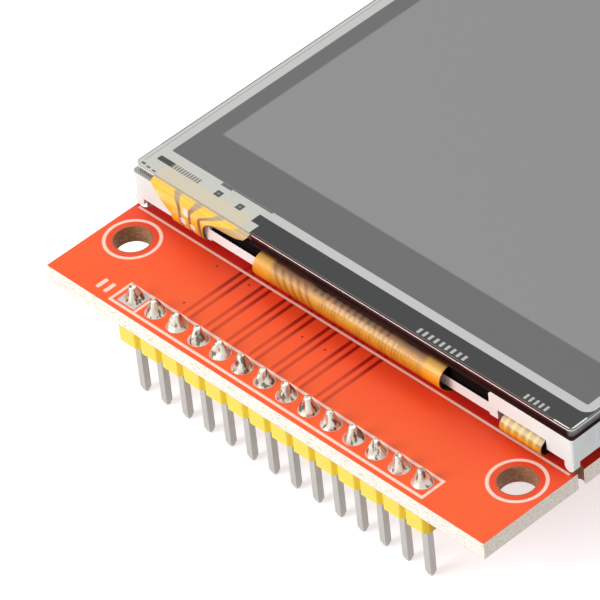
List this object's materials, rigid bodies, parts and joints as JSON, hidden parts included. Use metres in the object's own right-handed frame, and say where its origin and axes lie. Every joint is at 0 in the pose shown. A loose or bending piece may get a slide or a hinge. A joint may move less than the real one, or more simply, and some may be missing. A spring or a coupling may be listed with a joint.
{
  "type": "touch display module",
  "caption": "Flat colour LCD with a resistive touch panel, stuck to a circuit board with corner mounting holes, a pin header and a memory card socket.",
  "frame": {"origin": "centre of the four mounting holes, on the underside of the board", "axes": "+X along the pin header with its first pin at -X, +Y from the header edge to the far edge, +Z out of the screen"},
  "size_m": [0.05, 0.0861, 0.0144],
  "materials": {
    "red_board": "glossy red solder mask over glass-fibre board",
    "yellow_plastic": "moulded yellow header plastic",
    "tinned_pins": "bright tin plate on brass",
    "solder": "shiny reflowed solder",
    "foam": "grey foam tape",
    "white_plastic": "moulded white plastic, satin",
    "white_film": "white film",
    "clear_plastic": "clear plastic",
    "led_package": "white package with yellow phosphor",
    "amber_flex": "amber polyimide over copper",
    "black_tape": "black tape",
    "polarizer": "grey polarizing film",
    "lcd_glass": "thin glass",
    "chip_silicon": "bare silicon",
    "touch_glass": "float glass, faint green edge",
    "clear_film": "clear adhesive film",
    "touch_screen": "glossy film with printed silver lines over a grey screen",
    "socket_steel": "nickel-plated folded sheet",
    "socket_plastic": "black moulded plastic",
    "contact_metal": "gold flash on spring metal",
    "chip_package": "black moulding compound",
    "tinned_leads": "tin plate",
    "resistor": "black film on ceramic",
    "capacitor": "tan ceramic"
  },
  "bodies": {
    "root": {"pcb": "red_board", "header_body": "yellow_plastic", "header_pin_01": "tinned_pins", "header_pin_02": "tinned_pins", "header_pin_03": "tinned_pins", "header_pin_04": "tinned_pins", "header_pin_05": "tinned_pins", "header_pin_06": "tinned_pins", "header_pin_07": "tinned_pins", "header_pin_08": "tinned_pins", "header_pin_09": "tinned_pins", "header_pin_10": "tinned_pins", "header_pin_11": "tinned_pins", "header_pin_12": "tinned_pins", "header_pin_13": "tinned_pins", "header_pin_14": "tinned_pins", "solder_joints": "solder", "foam_tape_left": "foam", "foam_tape_right": "foam", "lcd_frame": "white_plastic", "reflector_sheet": "white_film", "light_guide": "clear_plastic", "diffuser_sheet": "white_film", "lower_prism_sheet": "clear_plastic", "upper_prism_sheet": "clear_plastic", "backlight_leds": "led_package", "backlight_ribbon": "amber_flex", "rim_tape": "black_tape", "rear_polarizer": "polarizer", "tft_glass": "lcd_glass", "color_filter_glass": "lcd_glass", "front_polarizer": "polarizer", "driver_chip": "chip_silicon", "main_ribbon": "amber_flex", "light_shield_tape": "black_tape", "touch_bond_tape": "black_tape", "touch_glass": "touch_glass", "touch_spacer": "clear_film", "touch_film": "touch_screen", "touch_ribbon": "amber_flex", "card_socket_shell": "socket_steel", "card_socket_body": "socket_plastic", "card_socket_contacts": "contact_metal", "touch_controller": "chip_package", "touch_controller_leads": "tinned_leads", "regulator": "chip_package", "regulator_leads": "tinned_leads", "backlight_transistor": "chip_package", "transistor_leads": "tinned_leads", "chip_resistors": "resistor", "chip_capacitors": "capacitor", "chip_terminals": "tinned_leads"}
  },
  "joints": []
}
